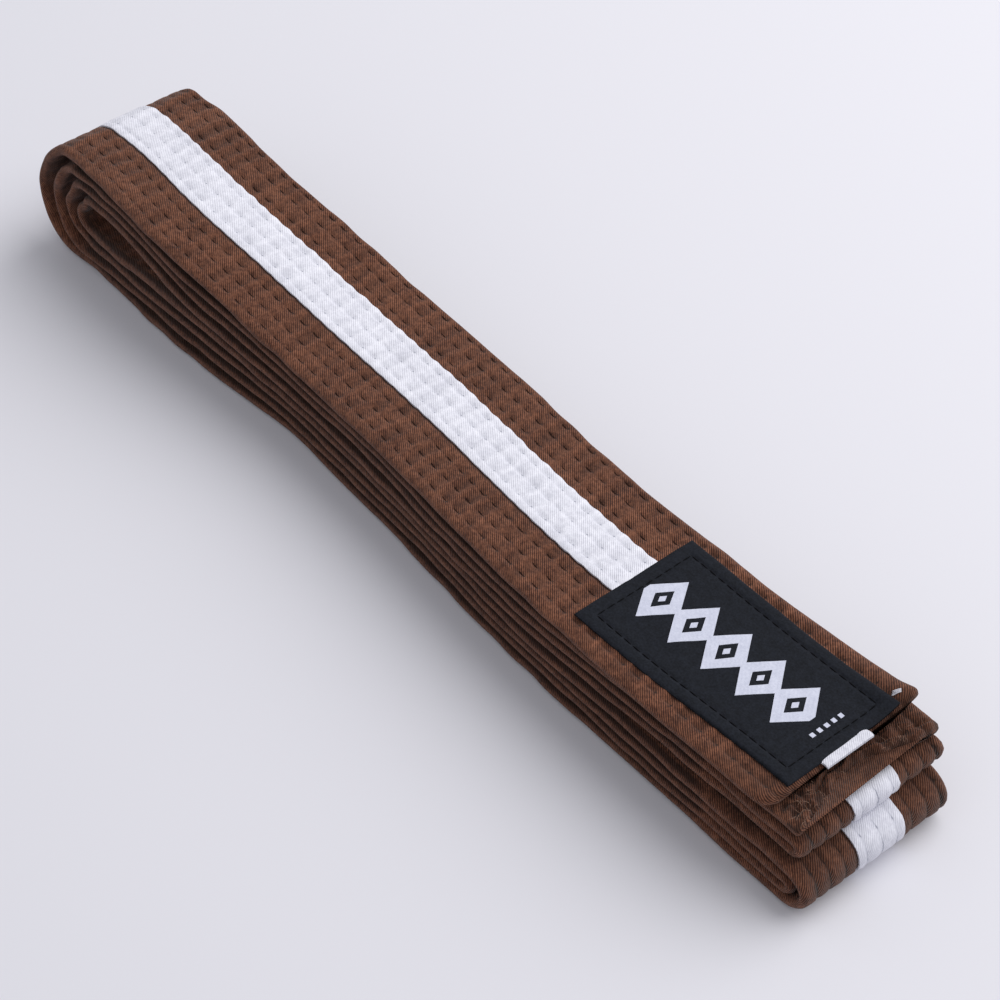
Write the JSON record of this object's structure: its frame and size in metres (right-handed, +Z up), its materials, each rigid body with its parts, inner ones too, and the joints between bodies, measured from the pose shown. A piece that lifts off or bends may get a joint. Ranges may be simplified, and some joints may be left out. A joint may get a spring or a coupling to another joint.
{
  "type": "martial arts belt",
  "caption": "Quilted cotton strap with a contrast centre stripe and a woven end label, folded flat into a long narrow bundle that opens like a fan.",
  "frame": {"origin": "centre of the folded belt's bounding box at the height of the table it lies on", "axes": "+X along the folded belt towards the two tips and the label, +Y across its width, +Z up from the table"},
  "size_m": [0.3138, 0.045, 0.0395],
  "materials": {
    "cover_brown": "matte brown cotton twill, quilted",
    "stripe_white": "matte white twill tape",
    "core_batting": "undyed cotton batting",
    "label_black": "fine black woven satin",
    "motif_white": "pale woven thread",
    "thread_brown": "brown sewing thread",
    "thread_white": "white sewing thread",
    "thread_black": "black sewing thread"
  },
  "bodies": {
    "root": {"run_5_cover": "cover_brown", "run_6_cover": "cover_brown", "run_7_cover": "cover_brown", "run_8_cover": "cover_brown", "far_turn_1_cover": "cover_brown", "far_turn_2_cover": "cover_brown", "far_turn_3_cover": "cover_brown", "far_turn_4_cover": "cover_brown", "near_outer_turn_cover": "cover_brown", "near_inner_turn_cover": "cover_brown", "outer_stretch_core": "core_batting", "inner_stretch_core": "core_batting", "outer_stretch_stripe": "stripe_white", "inner_stretch_stripe": "stripe_white"},
    "middle_fold": {"run_3_cover": "cover_brown", "run_4_cover": "cover_brown", "near_upper_turn_cover": "cover_brown", "middle_fold_core": "core_batting", "middle_fold_stripe": "stripe_white"},
    "plain_end_flap": {"run_2_cover": "cover_brown", "plain_end_core": "core_batting", "plain_end_stripe": "stripe_white", "plain_tip_hem": "cover_brown"},
    "label_end_flap": {"run_1_cover": "cover_brown", "label_end_core": "core_batting", "label_end_stripe": "stripe_white", "label_tip_hem": "cover_brown", "label_patch": "label_black", "label_stitching": "thread_black", "label_motif": "motif_white", "stitch_row_1": "thread_brown", "stitch_row_2": "thread_brown", "stitch_row_3": "thread_brown", "stitch_row_4": "thread_white", "stitch_row_5": "thread_white", "stitch_row_6": "thread_white", "stitch_row_7": "thread_brown", "stitch_row_8": "thread_brown", "stitch_row_9": "thread_brown"}
  },
  "joints": [
    {"name": "label_end_opening", "type": "hinge", "parent": "root", "child": "label_end_flap", "pos_m": [-0.1412, 0, 0.03905], "axis": [0, -1, 0], "range_deg": [0, 150]},
    {"name": "plain_end_opening", "type": "hinge", "parent": "root", "child": "plain_end_flap", "pos_m": [-0.1367, 0, 0.03545], "axis": [0, -1, 0], "range_deg": [0, 90]},
    {"name": "middle_fold_opening", "type": "hinge", "parent": "root", "child": "middle_fold", "pos_m": [-0.1333, 0, 0.03185], "axis": [0, -1, 0], "range_deg": [0, 45]}
  ],
  "couplings": [
    {"joint": "plain_end_opening", "follows": "label_end_opening", "ratio": 0.6},
    {"joint": "middle_fold_opening", "follows": "label_end_opening", "ratio": 0.3}
  ]
}
